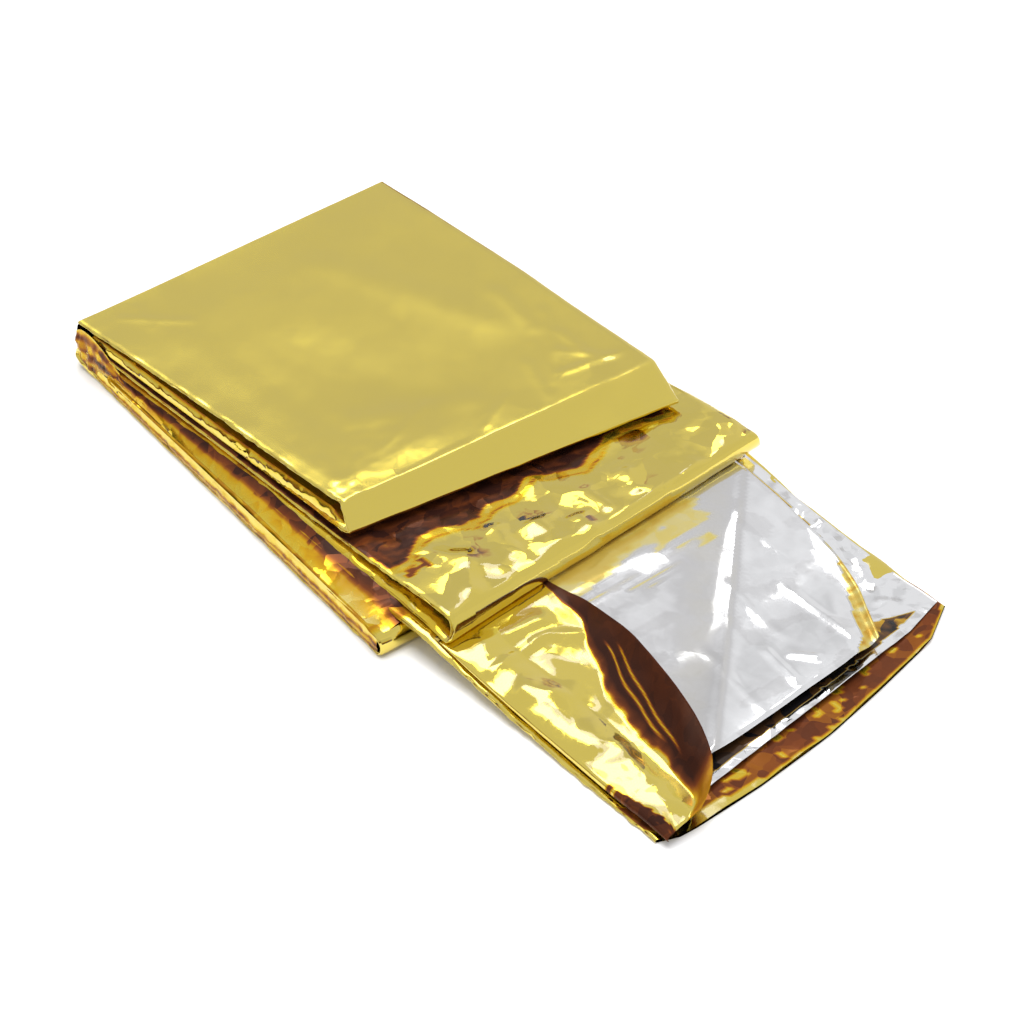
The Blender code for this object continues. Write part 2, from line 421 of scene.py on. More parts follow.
def facets(x: np.ndarray, y: np.ndarray, seed: int, length: float, count: int = 6) -> np.ndarray:
    """Crumpled film: flat facets between straight sharp creases, more in some places than in others.

    Args:
        x: Places along.
        y: Places across.
        seed: Chooses one pattern of many.
        length: The usual distance between two creases.
        count: How many sets of creases cross.

    Returns:
        Heights of about -1 to 1.
    """
    random = np.random.default_rng(seed)
    total = np.zeros(np.broadcast(x, y).shape)
    for i in range(count):
        angle, phase = random.uniform(0, math.tau, 2)
        pitch = length * random.uniform(0.6, 1.8)
        along = x * math.cos(angle) + y * math.sin(angle)
        along = along + 0.45 * pitch * waves(x, y, seed * 31 + i, length * 3.1, 3)
        tent = np.abs((along / pitch + phase) % 1.0 - 0.5) * 4 - 1
        total += tent * smooth(0.55 + 0.75 * waves(x, y, seed * 57 + i, length * 2.3, 4)) * pitch / length
    return total / count * 1.6


@dataclass(frozen=True)
class Crease:
    """One crease given between two places: a ridge, or a trough if its height is negative.

    Sharp says how much of it is a sharp fold, from 0 to 1; the rest is a soft swelling.
    """

    x: float
    y: float
    to_x: float
    to_y: float
    height: float
    half_width: float
    sharp: float = 0.6

    def over(self, x: np.ndarray, y: np.ndarray) -> np.ndarray:
        """Works the crease out; it fades out towards its two ends.

        Args:
            x: Places along.
            y: Places across.

        Returns:
            A height for each place.
        """
        along = np.array([self.to_x - self.x, self.to_y - self.y], dtype=float)
        length = float(np.hypot(*along))
        along /= length
        share = ((x - self.x) * along[0] + (y - self.y) * along[1]) / length
        aside = np.abs((y - self.y) * along[0] - (x - self.x) * along[1]) / self.half_width
        fade = smooth((share + 0.05) * 5) * smooth((1.05 - share) * 5)
        tent = np.maximum(0, 1 - aside * 0.7)
        return self.height * fade * (self.sharp * tent + (1 - self.sharp) * np.exp(-aside * aside))


# ------------------------------------------------------------------------------------------------ film mesh


class FilmMesh:
    """Collects patches of film, and makes one object of them."""

    def __init__(self, name: str) -> None:
        """Starts an empty film.

        Args:
            name: The object's name.
        """
        self.name = name
        self.points: list[np.ndarray] = []
        self.faces: list[np.ndarray] = []
        self.sides: list[np.ndarray] = []
        self.crumple: list[np.ndarray] = []
        self.tone: list[np.ndarray] = []
        self.count = 0

    def patch(
        self,
        grid: np.ndarray,
        side: Side,
        crumple: np.ndarray | float,
        tone: np.ndarray | float = 1.0,
        closed: bool = False,
    ) -> None:
        """Adds a grid of film.

        Args:
            grid: Points in rows and columns; seen from above, rows run to +X and columns to +Y.
            side: The finish of the faces.
            crumple: How crumpled the film is at each point, from 0 to 1.
            tone: The finish's tone at each point, painted shade and reflection from 0 deep in a fold to 1 in
                the open.
            closed: Whether the last column joins the first one.
        """
        rows, columns = grid.shape[:2]
        index = np.arange(rows * columns).reshape(rows, columns) + self.count
        if closed:
            index = np.concatenate((index, index[:, :1]), axis=1)
        corners = (index[:-1, :-1], index[1:, :-1], index[1:, 1:], index[:-1, 1:])
        quads = np.stack([c.ravel() for c in corners], axis=1)
        self.points.append(grid.reshape(-1, 3))
        self.faces.append(quads)
        self.sides.append(np.full(len(quads), side.value))
        self.crumple.append(np.broadcast_to(crumple, (rows, columns)).ravel())
        self.tone.append(np.clip(np.broadcast_to(tone, (rows, columns)), 0, 1).ravel())
        self.count += rows * columns

    def build(self, origin: np.ndarray, finishes: Finishes) -> bpy.types.Object:
        """Makes the object.

        Args:
            origin: Where the tables' zero is in the frame, in metres.
            finishes: The materials of the two sides.

        Returns:
            The object, in the scene, with both finishes, and its crumple and its tone of painted shade stored
            on its points.
        """
        points = np.concatenate(self.points) * MM + origin
        mesh = bpy.data.meshes.new(self.name)
        mesh.from_pydata(points.tolist(), [], np.concatenate(self.faces).tolist())
        for side in Side:
            mesh.materials.append(finishes[side])
        mesh.polygons.foreach_set("material_index", np.concatenate(self.sides).astype(np.int32))
        # The tone attribute carries the painted shade and reflection to the finishes' colour.
        for name, values in (("crumple", self.crumple), ("tone", self.tone)):
            attribute = mesh.attributes.new(name, "FLOAT", "POINT")
            attribute.data.foreach_set("value", np.concatenate(values).astype(np.float32))
        mesh.shade_smooth()
        made = bpy.data.objects.new(self.name, mesh)
        bpy.context.scene.collection.objects.link(made)
        return made


# ------------------------------------------------------------------------------------------- the pack's strip


class Layer(Enum):
    """The runs of the strip, by the column of their heights."""

    BOTTOM = 1
    BOTTOM_RETURN = 2
    TAIL = 3
    SECOND_RETURN = 4
    SECOND = 5
    TOP_RETURN = 6
    TOP = 7


# Heights of the middle of each layer, by the place along the pack: x, bottom, bottom return, tail, second
# return, second, top return, top.
LEVELS = np.array(
    [
        (-276, 0.9, 6.0, 9.6, 13.8, 17.8, 21.0, 26.4),
        (-240, 0.9, 6.6, 10.2, 14.0, 18.0, 21.6, 28.0),
        (-180, 0.9, 7.8, 11.4, 14.8, 18.4, 22.4, 29.6),
        (-120, 0.9, 9.0, 12.4, 15.6, 18.6, 23.0, 31.2),
        (-66, 0.9, 10.2, 12.8, 15.2, 18.4, 24.0, 33.4),
        (-45, 0.9, 10.3, 12.7, 15.0, 19.4, 24.6, 34.2),
        (-30, 0.9, 10.5, 12.9, 15.3, 20.9, 25.0, 34.2),
        (-15, 0.9, 10.8, 13.2, 15.8, 22.6, 26.0, 34.2),
        (0, 0.9, 10.9, 13.3, 16.1, 23.9, 30.0, 40.0),
        (14, 0.9, 10.6, 12.8, 15.7, 24.7, 30.0, 40.0),
        (25, 0.9, 10.0, 11.4, 15.0, 24.6, 30.0, 40.0),
        (46, 0.9, 5.0, 7.6, 15.2, 24.6, 30.0, 40.0),
        (70, 0.9, 1.2, 4.6, 15.2, 24.6, 30.0, 40.0),
        (92, 0.9, 1.0, 2.4, 15.2, 24.6, 30.0, 40.0),
        (114, 0.9, 1.0, 0.95, 15.2, 24.6, 30.0, 40.0),
    ]
)

# The same heights in steps of a millimetre, with every corner of the table rounded off.
LEVEL_X = np.arange(-300.0, 200.0)
LEVEL_ROUNDING = np.hanning(19)[1:-1] / 9
LEVEL_Z = np.array(
    [
        np.convolve(np.pad(np.interp(LEVEL_X, LEVELS[:, 0], column), 8, mode="edge"), LEVEL_ROUNDING, "valid")
        for column in LEVELS.T
    ]
)

# The strip's open end, as seen from above: places across and along.
END_EDGE = np.array(
    [(14, 171), (20, 174.5), (29, 176), (72, 176), (119, 173), (157, 167), (200, 159), (222, 147)]
)


@dataclass(frozen=True)
class Line:
    """A line across one layer, with heights of its own where they are given.

    After it comes a fold that reaches forwards or backwards by turn, or else a run to the next line in
    steps of about step. Its film is as crumpled as rough says, from 0 to 1, and of the given tone, which
    paints the shade of film that lies deep in the pack.
    """

    layer: Layer
    left_x: float
    left_y: float
    right_x: float
    right_y: float
    turn: float = 0.0
    step: float = 5.0
    rough: float = 0.25
    tone: float = 1.0
    left_z: float | None = None
    right_z: float | None = None


# Tones below 1 paint the shade and reflections of runs that lie inside the pack.
STRIP = (
    Line(Layer.TOP, -279.5, 29.5, -279, 230, step=2.2, rough=0.06),
    Line(Layer.TOP, -170, 33, -165, 228, step=2.0, rough=0.07),
    Line(Layer.TOP, -82, 33, -74, 223, step=1.2, rough=0.14),
    Line(Layer.TOP, -68, 33, -54, 222, step=1.2, rough=0.14, left_z=33.6, right_z=33.4),
    Line(Layer.TOP, -56.5, 27.5, -28.5, 214, turn=1.6, rough=0.3, left_z=26.6, right_z=27.4),
    Line(Layer.TOP_RETURN, -62, 27.5, -34, 214, tone=0.35, left_z=24.6, right_z=25.2),
    Line(Layer.TOP_RETURN, -160, 31, -150, 226, tone=0.3),
    Line(Layer.TOP_RETURN, -268, 30, -270, 230, turn=-3.5, rough=0.6, tone=0.3),
    Line(Layer.SECOND, -268, 28, -270, 229, tone=0.14),
    Line(Layer.SECOND, -64, 27, -64, 228, step=1.2, rough=0.75),
    Line(Layer.SECOND, 19, 24, 12, 226.5, turn=4.2, rough=0.3),
    Line(Layer.SECOND_RETURN, 22, 20, 11, 229.5, tone=0.85),
    Line(Layer.SECOND_RETURN, -120, 27, -116, 229.5, tone=0.5),
    Line(Layer.SECOND_RETURN, -262, 28, -262, 229.5, turn=-20.0, rough=0.8),
    Line(Layer.BOTTOM, -262, 27, -258, 228),
    Line(Layer.BOTTOM, -3, 1, 7, 200, turn=3.5, rough=0.5),
    Line(Layer.BOTTOM_RETURN, -4, 1, 6, 200, tone=0.62, rough=0.5),
    Line(Layer.BOTTOM_RETURN, -120, 15, -112, 214, tone=0.6, rough=0.5),
    Line(Layer.BOTTOM_RETURN, -248, 26, -246, 227, turn=-3.5, rough=0.6, tone=0.5),
    Line(Layer.TAIL, -248, 27, -246, 228, tone=0.5),
    Line(Layer.TAIL, -120, 22, -112, 226, tone=0.5),
    Line(Layer.TAIL, -4, 15, 8, 224, step=3.0, rough=0.4),
    Line(Layer.TAIL, 31, 15.8, 31, 222.6, step=2.2, rough=0.5),
    Line(Layer.TAIL, 46, 16, 48, 222, step=2.2, rough=0.5),
    Line(Layer.TAIL, 100, 16, 100, 223, step=2.2, rough=0.5),
    Line(Layer.TAIL, 171, 14, 147, 222),
)

TOP_CREASES = tuple(
    Crease(*row)
    for row in (
        (-74, 44, -92, 62, 0.3, 2.0), (-80, 40, -104, 48, 0.25, 2.5), (-76, 52, -128, 84, 0.22, 2.2),
        (-84, 66, -104, 118, 0.2, 2.0), (-72, 200, -110, 205, 0.35, 3.0), (-70, 210, -96, 190, 0.3, 3.0),
        (-78, 176, -70, 216, 0.4, 3.0), (-66, 120, -82, 150, 0.3, 2.2), (-62, 160, -100, 176, 0.3, 2.6),
        (-130, 214, -84, 186, 0.35, 3.5), (-160, 206, -110, 196, 0.35, 5.0),
        (-240, 60, -110, 52, 0.25, 9.0, 0.1), (-200, 90, -90, 120, -0.3, 14.0, 0.0),
        (-250, 150, -120, 190, 0.45, 12.0, 0.0), (-120, 70, -86, 140, 0.3, 8.0, 0.1),
        (-270, 44, -238, 74, 0.3, 3.0), (-274, 60, -246, 52, 0.25, 3.0),
    )
)
SECOND_CREASES = tuple(
    Crease(*row)
    for row in (
        (-8, 100, 18, 98, 1.7, 9.0, 0.9), (2, 118, 24, 116, 1.3, 6.5, 0.9),
        (20, 110, 17, 170, 0.45, 4.0, 0.8), (-12, 135, 13, 133, 0.7, 3.5, 0.9),
        (-30, 44, 14, 66, 1.2, 6.0, 0.9), (-14, 62, 18, 40, 1.3, 6.0, 0.9),
        (-20, 84, 10, 76, 0.9, 5.0, 0.9), (-10, 160, 12, 152, 0.7, 4.0, 0.9),
        (-30, 200, 6, 190, 0.3, 6.0, 0.6),
    )
)

# Where the second run comes out of the shade of the one above it: places across and along.
RIM = np.array(
    [
        (18, -60), (24, -50), (28, -22), (38, -20), (46, -27), (53, -31), (66, -30), (78, -23), (95, -28),
        (106, -26), (113, -27.5), (122, -31),
        (145, -20), (151, -21.6), (163, -26), (175, -32.5), (188, -31.6), (206, -23.4), (210, -30), (216, -66),
    ]
)
# The second run's tones by the distance out from there: painted shade and reflection under the run above,
# then an amber rim, a darker line and the open film.
RIM_PAINTED_SHADE = np.array(
    [(-40, 0.1), (-14, 0.06), (-8, 0.0), (-5.8, 0.05), (-4.6, 0.7), (-2.6, 0.84), (-0.6, 0.8), (0.6, 0.42),
     (1.8, 0.9), (3.0, 1.0)]
)


@dataclass
class PackedStrip:
    """The outer film of the strip, a flat tube with its gold side outside, folded back and forth; the films
    inside it; and the crumpled film that closes the pack's left side and its back."""

    half_thickness: float = 0.8
    columns_above: int = 84
    columns_below: int = 22
    edge_steps: int = 8
    edge_reach: float = 1.1
    edge_crumple: float = 0.5
    fold_steps: int = 9
    large_turn: float = 10.0
    lift: float = 0.35
    lift_length: float = 150.0
    crumple: float = 1.5
    crumple_length: float = 30.0
    fine_crumple: float = 0.22
    fine_length: float = 11.0
    ridge_band: float = 1.3
    end_start_x: float = 100.0
    inner_films: int = 6
    inner_columns: int = 8
    inner_gap: float = 0.13
    pinch_at: tuple[float, float] = (-63.0, 34.0)
    pinch_spread: float = 120.0
    pinch_height: float = 0.5
    pinch_length: float = 7.0
    pucker_reach: float = 8.0
    pucker_height: float = 0.3
    pucker_length: float = 19.0
    band_length: float = 14.0
    least_slope: float = 0.3
    top_above: float = 23.0
    top_front_x: float = -30.0
    second_below: float = 27.0
    second_x: tuple[float, float] = (-62.0, 20.0)
    second_path_end: float = 900.0
    deepest_dent: float = -0.2
    # Painted shade: the least tone of the underside, the light tone of the second run's left edge, and the
    # tone below which film counts as shaded.
    underside_painted_shade: float = 0.6
    under_crumple: float = 0.5
    second_edge_painted_light: float = 0.95
    painted_shade_limit: float = 0.3
    dark_crumple: float = 0.45
    wall_columns: int = 11
    name: str = "foil_strip"

    @staticmethod
    def level(layer: Layer, x: np.ndarray) -> np.ndarray:
        """The height of the middle of a layer at places along the pack."""
        return np.interp(x, LEVEL_X, LEVEL_Z[layer.value])

    def lifted(self, x: np.ndarray, y: np.ndarray, z: np.ndarray) -> np.ndarray:
        """Heights with the pack's slow waves, which grow towards its top."""
        return z + waves(x, y, 5, self.lift_length) * self.lift * smooth((z - 4) / 14)

    def place(self, line: Line, shares: np.ndarray) -> np.ndarray:
        """The points across a line.

        Args:
            line: The line.
            shares: How far across each point is, from 0 at the left to 1 at the right.

        Returns:
            One point for each share.
        """
        x = line.left_x + (line.right_x - line.left_x) * shares
        y = line.left_y + (line.right_y - line.left_y) * shares
        z = self.level(line.layer, x)
        if line.left_z is not None:
            z = line.left_z + (line.right_z - line.left_z) * shares
        return np.stack((x, y, self.lifted(x, y, z)), axis=1)

    def rows(self, start: Line, end: Line) -> int:
        """Counts the rows from one line to the next, along a run or round a fold.

        Args:
            start: The line before.
            end: The line after.

        Returns:
            The number of rows.
        """
        if start.turn:
            return self.fold_steps * (2 if abs(start.turn) > self.large_turn else 1)
        reach = max(abs(end.left_x - start.left_x), abs(end.right_x - start.right_x))
        return math.ceil(reach / start.step)

    def run(self, start: Line, end: Line, shares: np.ndarray) -> list[np.ndarray]:
        """Makes the rows of points from one line to the next one of its layer.

        Args:
            start: The line before.
            end: The line after.
            shares: How far across each point is, from 0 at the left to 1 at the right.

        Returns:
            The rows, without the first line.
        """
        steps = self.rows(start, end)
        first, last = self.place(start, shares), self.place(end, shares)
        own_heights = start.left_z is not None or end.left_z is not None
        rows = []
        for step in range(1, steps + 1):
            row = first + (last - first) * step / steps
            if not own_heights:
                row[:, 2] = self.lifted(row[:, 0], row[:, 1], self.level(start.layer, row[:, 0]))
            rows.append(row)
        return rows

    def fold(self, start: Line, end: Line, shares: np.ndarray) -> list[np.ndarray]:
        """Makes the rows of points of a fold: half an ellipse, squarer at the second run, which is pressed
        flat.

        Args:
            start: The line before.
            end: The line after.
            shares: How far across each point is, from 0 at the left to 1 at the right.

        Returns:
            The rows, without the first line.
        """
        first, last = self.place(start, shares), self.place(end, shares)
        squareness = 0.45 if start.layer is Layer.SECOND else 1.0
        rows = []
        steps = self.rows(start, end)
        for step in range(1, steps + 1):
            angle = math.pi * step / steps
            row = first + (last - first) * (1 - math.cos(angle)) / 2
            row[:, 0] += start.turn * math.sin(angle) ** squareness
            rows.append(row)
        return rows

    def middle(self, shares: np.ndarray) -> tuple[np.ndarray, np.ndarray, np.ndarray]:
        """The strip's middle surface.

        Args:
            shares: The places across.

        Returns:
            The points in rows and columns, how crumpled each row is, and its tone.
        """
        rows, rough, tone = [self.place(STRIP[0], shares)], [STRIP[0].rough], [STRIP[0].tone]
        for start, end in zip(STRIP, STRIP[1:]):
            added = self.fold(start, end, shares) if start.turn else self.run(start, end, shares)
            rows += added
            rough += [start.rough] * len(added)
            tone += [start.tone] * len(added)
        kernel = np.array([1, 2, 3, 2, 1]) / 9
        even = np.convolve(np.pad(rough, 2, mode="edge"), kernel, mode="valid")
        middle = np.array(rows)
        self.round_ridge(middle)
        self.shape_end(middle)
        return middle, even, np.array(tone)

    def round_ridge(self, middle: np.ndarray) -> None:
        """Rounds off the ridge where the top run turns down into its front face."""
        count = sum(self.rows(a, b) for a, b in zip(STRIP, STRIP[1:]) if a.layer is Layer.TOP and not a.turn)
        for _ in range(3):
            inner = middle[1:count]
            middle[1:count] = (middle[: count - 1] + 2 * inner + middle[2 : count + 1]) / 4

    def shape_end(self, middle: np.ndarray) -> None:
        """Gives the strip's last run the outline of its open end.

        Args:
            middle: The strip's middle surface, which it changes.
        """
        start, last = self.end_start_x, STRIP[-1]
        end_x = np.interp(middle[..., 1], (last.left_y, last.right_y), (last.left_x, last.right_x))
        wanted = np.interp(middle[..., 1], END_EDGE[:, 0], END_EDGE[:, 1])
        x = middle[..., 0]
        middle[..., 0] = np.where(x > start, start + (x - start) * (wanted - start) / (end_x - start), x)

    @staticmethod
    def normals(middle: np.ndarray) -> np.ndarray:
        """The directions that stand up from the middle surface."""
        normal = np.cross(np.gradient(middle, axis=0), np.gradient(middle, axis=1))
        return normal / np.linalg.norm(normal, axis=2, keepdims=True)

    def wrinkles(self, middle: np.ndarray, rough: np.ndarray, normal: np.ndarray, seed: int) -> np.ndarray:
        """How far the outer film stands off the strip.

        Args:
            middle: The strip's middle surface.
            rough: How crumpled each row is.
            normal: The directions that stand up from the middle.
            seed: Chooses the crumpling.

        Returns:
            A distance for each point.
        """
        x, y = middle[..., 0], middle[..., 1]
        amount = rough[:, None] * np.ones_like(x)
        folds = self.crumple * (0.4 + facets(x, y, seed, self.crumple_length))
        height = amount * (folds + self.fine_crumple * facets(x, y, seed + 1, self.fine_length))
        # The top run's front left corner is pinched.
        squared = (x - self.pinch_at[0]) ** 2 + (y - self.pinch_at[1]) ** 2
        corner = np.exp(-squared / self.pinch_spread) * (middle[..., 2] > self.top_above + 1)
        height = height + self.pinch_height * corner * facets(x, y, seed + 3, self.pinch_length)
        # All the left edges are puckered.
        path = np.cumsum(np.r_[0, np.linalg.norm(np.diff(middle[:, 0], axis=0), axis=1)])[:, None]
        near = np.exp(-(((y - y[:, :1]) / self.pucker_reach) ** 2))
        pucker = near * (0.5 + facets(path, y * 0.5, seed + 2, self.pucker_length))
        height = height + self.pucker_height * pucker
        faces_up = normal[..., 2] > self.least_slope
        is_top = (middle[..., 2] > self.top_above) & faces_up & (x < self.top_front_x)
        is_second = (middle[..., 2] < self.second_below) & faces_up & (path < self.second_path_end)
        is_second &= (x > self.second_x[0]) & (x < self.second_x[1])
        height = height + is_top * sum(c.over(x, y) for c in TOP_CREASES)
        # The top run falls away in an even band before its ridge, most at the left.
        uneven = 0.9 + 0.12 * facets(x, y, seed + 4, self.band_length)
        band = smooth((y - 34) / 6) * smooth((132 - y) / 50) * uneven
        raised = (1 - np.clip((x + 81) / 13, 0, 1)) * smooth((x + 150) / 60)
        height = height + is_top * band * self.ridge_band * raised
        height = height + is_second * sum(c.over(x, y) for c in SECOND_CREASES)
        return np.maximum(height, self.deepest_dent)

    def outer(self, film: FilmMesh) -> None:
        """Adds the outer film.

        Args:
            film: The mesh to add to.
        """
        count = self.columns_above
        shares = np.concatenate((np.linspace(0, 1, count), np.linspace(1, 0, self.columns_below)))
        middle, rough, tone = self.middle(shares)
        above, low = middle[:, :count], middle[:, count:]
        normal = self.normals(above)
        up = above + normal * (self.half_thickness + self.wrinkles(above, rough, normal, 11)[..., None])
        down = low + self.normals(low) * self.half_thickness
        left = self.edge(middle[:, 0], down[:, -1], up[:, 0], -1.0, 21)
        right = self.edge(middle[:, count - 1], up[:, -1], down[:, 0], 1.0, 22)
        loop = np.concatenate((up, right, down, left), axis=1)
        # Painted shade and reflection: the upper face's tones, the underside never darker than a set tone, and
        # the second run's left edge painted light.
        upper = self.tones(above, tone)
        tones = tone[:, None] * np.ones(loop.shape[1])
        tones[:, :count] = upper
        tones[:, count:] = np.maximum(tones[:, count:], self.underside_painted_shade)
        first, rows = self.rows_to(Layer.SECOND)
        tones[first : first + rows, -self.edge_steps + 1 :] = self.second_edge_painted_light
        crumple = np.clip(rough, 0, 1)[:, None] * np.ones(loop.shape[1])
        crumple[:, count:] = np.maximum(crumple[:, count:], self.under_crumple)
        crumple[:, :count] = np.where(upper < self.painted_shade_limit, self.dark_crumple, crumple[:, :count])
        film.patch(loop, Side.GOLD, crumple, tones, closed=True)

    def tones(self, middle: np.ndarray, tone: np.ndarray) -> np.ndarray:
        """The tones of the upper face.

        Args:
            middle: The strip's middle surface under it.
            tone: Each row's own tone.

        Returns:
            A tone for each point, which paints shade: its row's, with painted shade under the top run and
            painted shade and reflection at the open end.
        """
        x, y = middle[..., 0], middle[..., 1]
        # Rows inside the pack get uneven painted shade.
        tones = tone[:, None] + 0.12 * facets(x, y, 31, 15) * (tone[:, None] < 0.9)
        rows = np.arange(len(middle))[:, None]
        first, count = self.rows_to(Layer.SECOND)
        last = first + count
        # Painted shade and reflection under the top run, by the distance out from the rim, with uneven edges
        # and blotches.
        out = x - np.interp(y, RIM[:, 0], RIM[:, 1]) + 2.2 * facets(x, y, 33, 15) + 0.5 * facets(x, y, 39, 6)
        shade = np.interp(out, RIM_PAINTED_SHADE[:, 0], RIM_PAINTED_SHADE[:, 1])
        shade = shade + (0.17 * facets(x, y, 34, 10) + 0.10 * facets(x, y, 35, 4)) * (out < -5)
        # Painted dark patches in the open film near the second run's front left corner.
        painted_dark_corner = 2.4 * np.exp(-((x + 18) ** 2 / 90 + (y - 36) ** 2 / 200))
        shade = np.where((out > 2) & (facets(x, y, 36, 7) + painted_dark_corner > 2.0), 0.3, shade)
        tones = np.where((rows >= first) & (rows <= last), np.minimum(shade, 1.0), tones)
        # At the open end, painted shade and reflection in a mottled brown and gold band, light along the very
        # edge.
        to_end = np.interp(y, END_EDGE[:, 0], END_EDGE[:, 1]) - x
        is_end = (rows > last) & (middle[..., 2] < 6) & (to_end < 26) & (x > 110)
        end = np.where(facets(x, y, 37, 14) + 0.4 * facets(x, y, 38, 5) > 0.42, 0.85, 0.24)
        end = np.where(to_end < 1.5 + 5 * smooth((90 - y) / 60), 0.95, end)
        return np.where(is_end, end, tones)

    def rows_to(self, layer: Layer) -> tuple[int, int]:
        """Finds where a layer is, with the fold after it.

        Args:
            layer: The layer.

        Returns:
            The first row, and the number of rows.
        """
        lines = list(zip(STRIP, STRIP[1:]))
        first = sum(self.rows(a, b) for a, b in lines if a.layer.value > layer.value)
        return first + 1, sum(self.rows(a, b) for a, b in lines if a.layer is layer)

    def edge(
        self, middle: np.ndarray, start: np.ndarray, end: np.ndarray, way: float, seed: int
    ) -> np.ndarray:
        """The film round one side of the strip, where its layers are folded: two soft lobes.

        Args:
            middle: The strip's middle at that side, a point for each row.
            start: The points that the edge starts from.
            end: The points that it ends at.
            way: -1 at the left side, 1 at the right one.
            seed: Chooses the crumpling.

        Returns:
            The points between start and end, in rows and columns.
        """
        path = np.cumsum(np.r_[0, np.linalg.norm(np.diff(middle, axis=0), axis=1)])
        columns = []
        for step in range(1, self.edge_steps):
            share = step / self.edge_steps
            lobes = 0.75 + 0.25 * abs(math.cos(math.pi * 2 * share))
            reach = self.half_thickness * self.edge_reach * math.sin(math.pi * share) * lobes
            crumpled = self.edge_crumple * facets(path, np.full_like(path, share * 9), seed, 8)
            point = start + (end - start) * share
            point = point + np.array([0.0, way, 0.0]) * (reach + crumpled * math.sin(math.pi * share))[:, None]
            columns.append(point)
        return np.stack(columns, axis=1)

    def inner(self, film: FilmMesh) -> None:
        """Adds the films inside the strip, which show at its ends.

        Args:
            film: The mesh to add to.
        """
        shares = np.linspace(0.012, 0.988, self.inner_columns)
        middle, _, _ = self.middle(shares)
        keep = np.unique(np.r_[np.arange(0, len(middle), 3), len(middle) - 1])
        middle = middle[keep]
        normal = self.normals(middle)
        for number in range(self.inner_films):
            offset = (number - (self.inner_films - 1) / 2) * self.inner_gap
            side = Side.SILVER if number % 2 else Side.GOLD
            film.patch(middle + normal * offset, side, 0.3)

    def wall(
        self,
        film: FilmMesh,
        x: np.ndarray,
        low: tuple[np.ndarray, np.ndarray],
        high: tuple[np.ndarray, np.ndarray],
        crumple: float,
        tones: tuple[float, ...],
        vary: float,
    ) -> None:
        """Adds crumpled film that closes the left side between two edges.

        Args:
            film: The mesh to add to.
            x: Places along.
            low: The lower edge, as places across and heights.
            high: The upper edge, in the same way.
            crumple: How far the film stands off, in millimetres.
            tones: The finish's tones from the lower edge to the upper one, which paint bands of shade and
                reflection.
            vary: How much the tones vary.
        """
        share = np.linspace(0, 1, self.wall_columns)[None, :]
        y, z = (
            np.broadcast_to(a, x.shape)[:, None] + (b - a + 0 * x)[:, None] * share for a, b in zip(low, high)
        )
        along = np.broadcast_to(x[:, None], y.shape)
        folds = facets(along, z * 1.5, 41, 11) + 0.4 * facets(along, z * 1.5, 44, 4)
        y = y - np.sin(math.pi * share) * (0.5 + crumple * (folds + 0.3))
        # Bands of painted shade and reflection across the side, made uneven.
        tone = np.interp(share, np.linspace(0, 1, len(tones)), tones) + vary * facets(along, z * 2, 42, 9)
        film.patch(np.stack((along, y, z), axis=2), Side.GOLD, 0.5, tone)

    def top_side(self, film: FilmMesh) -> None:
        """Adds the left side of the top loop, between its upper run and its lower one.

        Args:
            film: The mesh to add to.
        """
        x = np.linspace(-268, -60.5, 170)
        front = smooth((x + 74) / 12)
        low = self.level(Layer.TOP_RETURN, x) - 0.6
        high = self.level(Layer.TOP, x) * (1 - front) + 28.6 * front - 2.9
        # Painted shade at both edges, most at the upper one, under the top run.
        self.wall(film, x, (28.2, low), (30.6, high), 0.45, (0.8, 0.97, 0.97, 0.9, 0.4), 0.06)

    def middle_side(self, film: FilmMesh) -> None:
        """Adds the left side between the second run and the bottom loop, deep in the pack's shade.

        Args:
            film: The mesh to add to.
        """
        x = np.linspace(-262, -3, 180)
        low_y = np.interp(x, (-248, -120, -4), (26, 15, 1.2)) + 0.6
        high_y = np.interp(x, (-262, -120, 24), (27.4, 26.4, 19.4))
        tuck = 2.5 * smooth((x + 16) / 12)
        low = (low_y, self.level(Layer.BOTTOM_RETURN, x) + 1.0 - 0.6 * tuck)
        high = (high_y, self.level(Layer.SECOND_RETURN, x) + 0.2 - tuck)
        # Painted shade, deepest towards the upper edge, under the second run.
        self.wall(film, x, low, high, 0.25, (0.85, 0.76, 0.7, 0.62, 0.2, 0.08, 0.05), 0.07)

    def bottom_side(self, film: FilmMesh) -> None:
        """Adds the left side of the bottom loop.

        Args:
            film: The mesh to add to.
        """
        x = np.linspace(-262, -3, 190)
        y = np.interp(x, (-262, -3), (27, 1)) - 0.4
        high = (y + 0.5, self.level(Layer.BOTTOM_RETURN, x) + 0.9)
        # Two dark bands of painted shade between the films.
        self.wall(film, x, (y, 0.5), high, 0.6, (0.9, 0.2, 0.85, 0.3, 0.9, 0.95, 1.0), 0.12)

    def back_side(self, film: FilmMesh) -> None:
        """Adds the left side of the back loop, which closes round all the layers.

        Args:
            film: The mesh to add to.
        """
        x = np.linspace(-279.5, -232, 70)
        share = (x + 279.5) / 47.5
        rounded = np.sqrt(1 - (1 - np.minimum(1, share * 4 + 0.3)) ** 2)
        half = 13.0 * rounded * (1 - 0.9 * smooth(share * 1.3 - 0.3))
        middle = 13.4 - 2.0 * share
        # Dark bands of painted shade between the crumples.
        tones = (0.9, 0.3, 0.85, 0.2, 0.6, 0.15, 0.85)
        self.wall(film, x, (27.4, middle - half), (27.4, middle + half), 1.5, tones, 0.4)

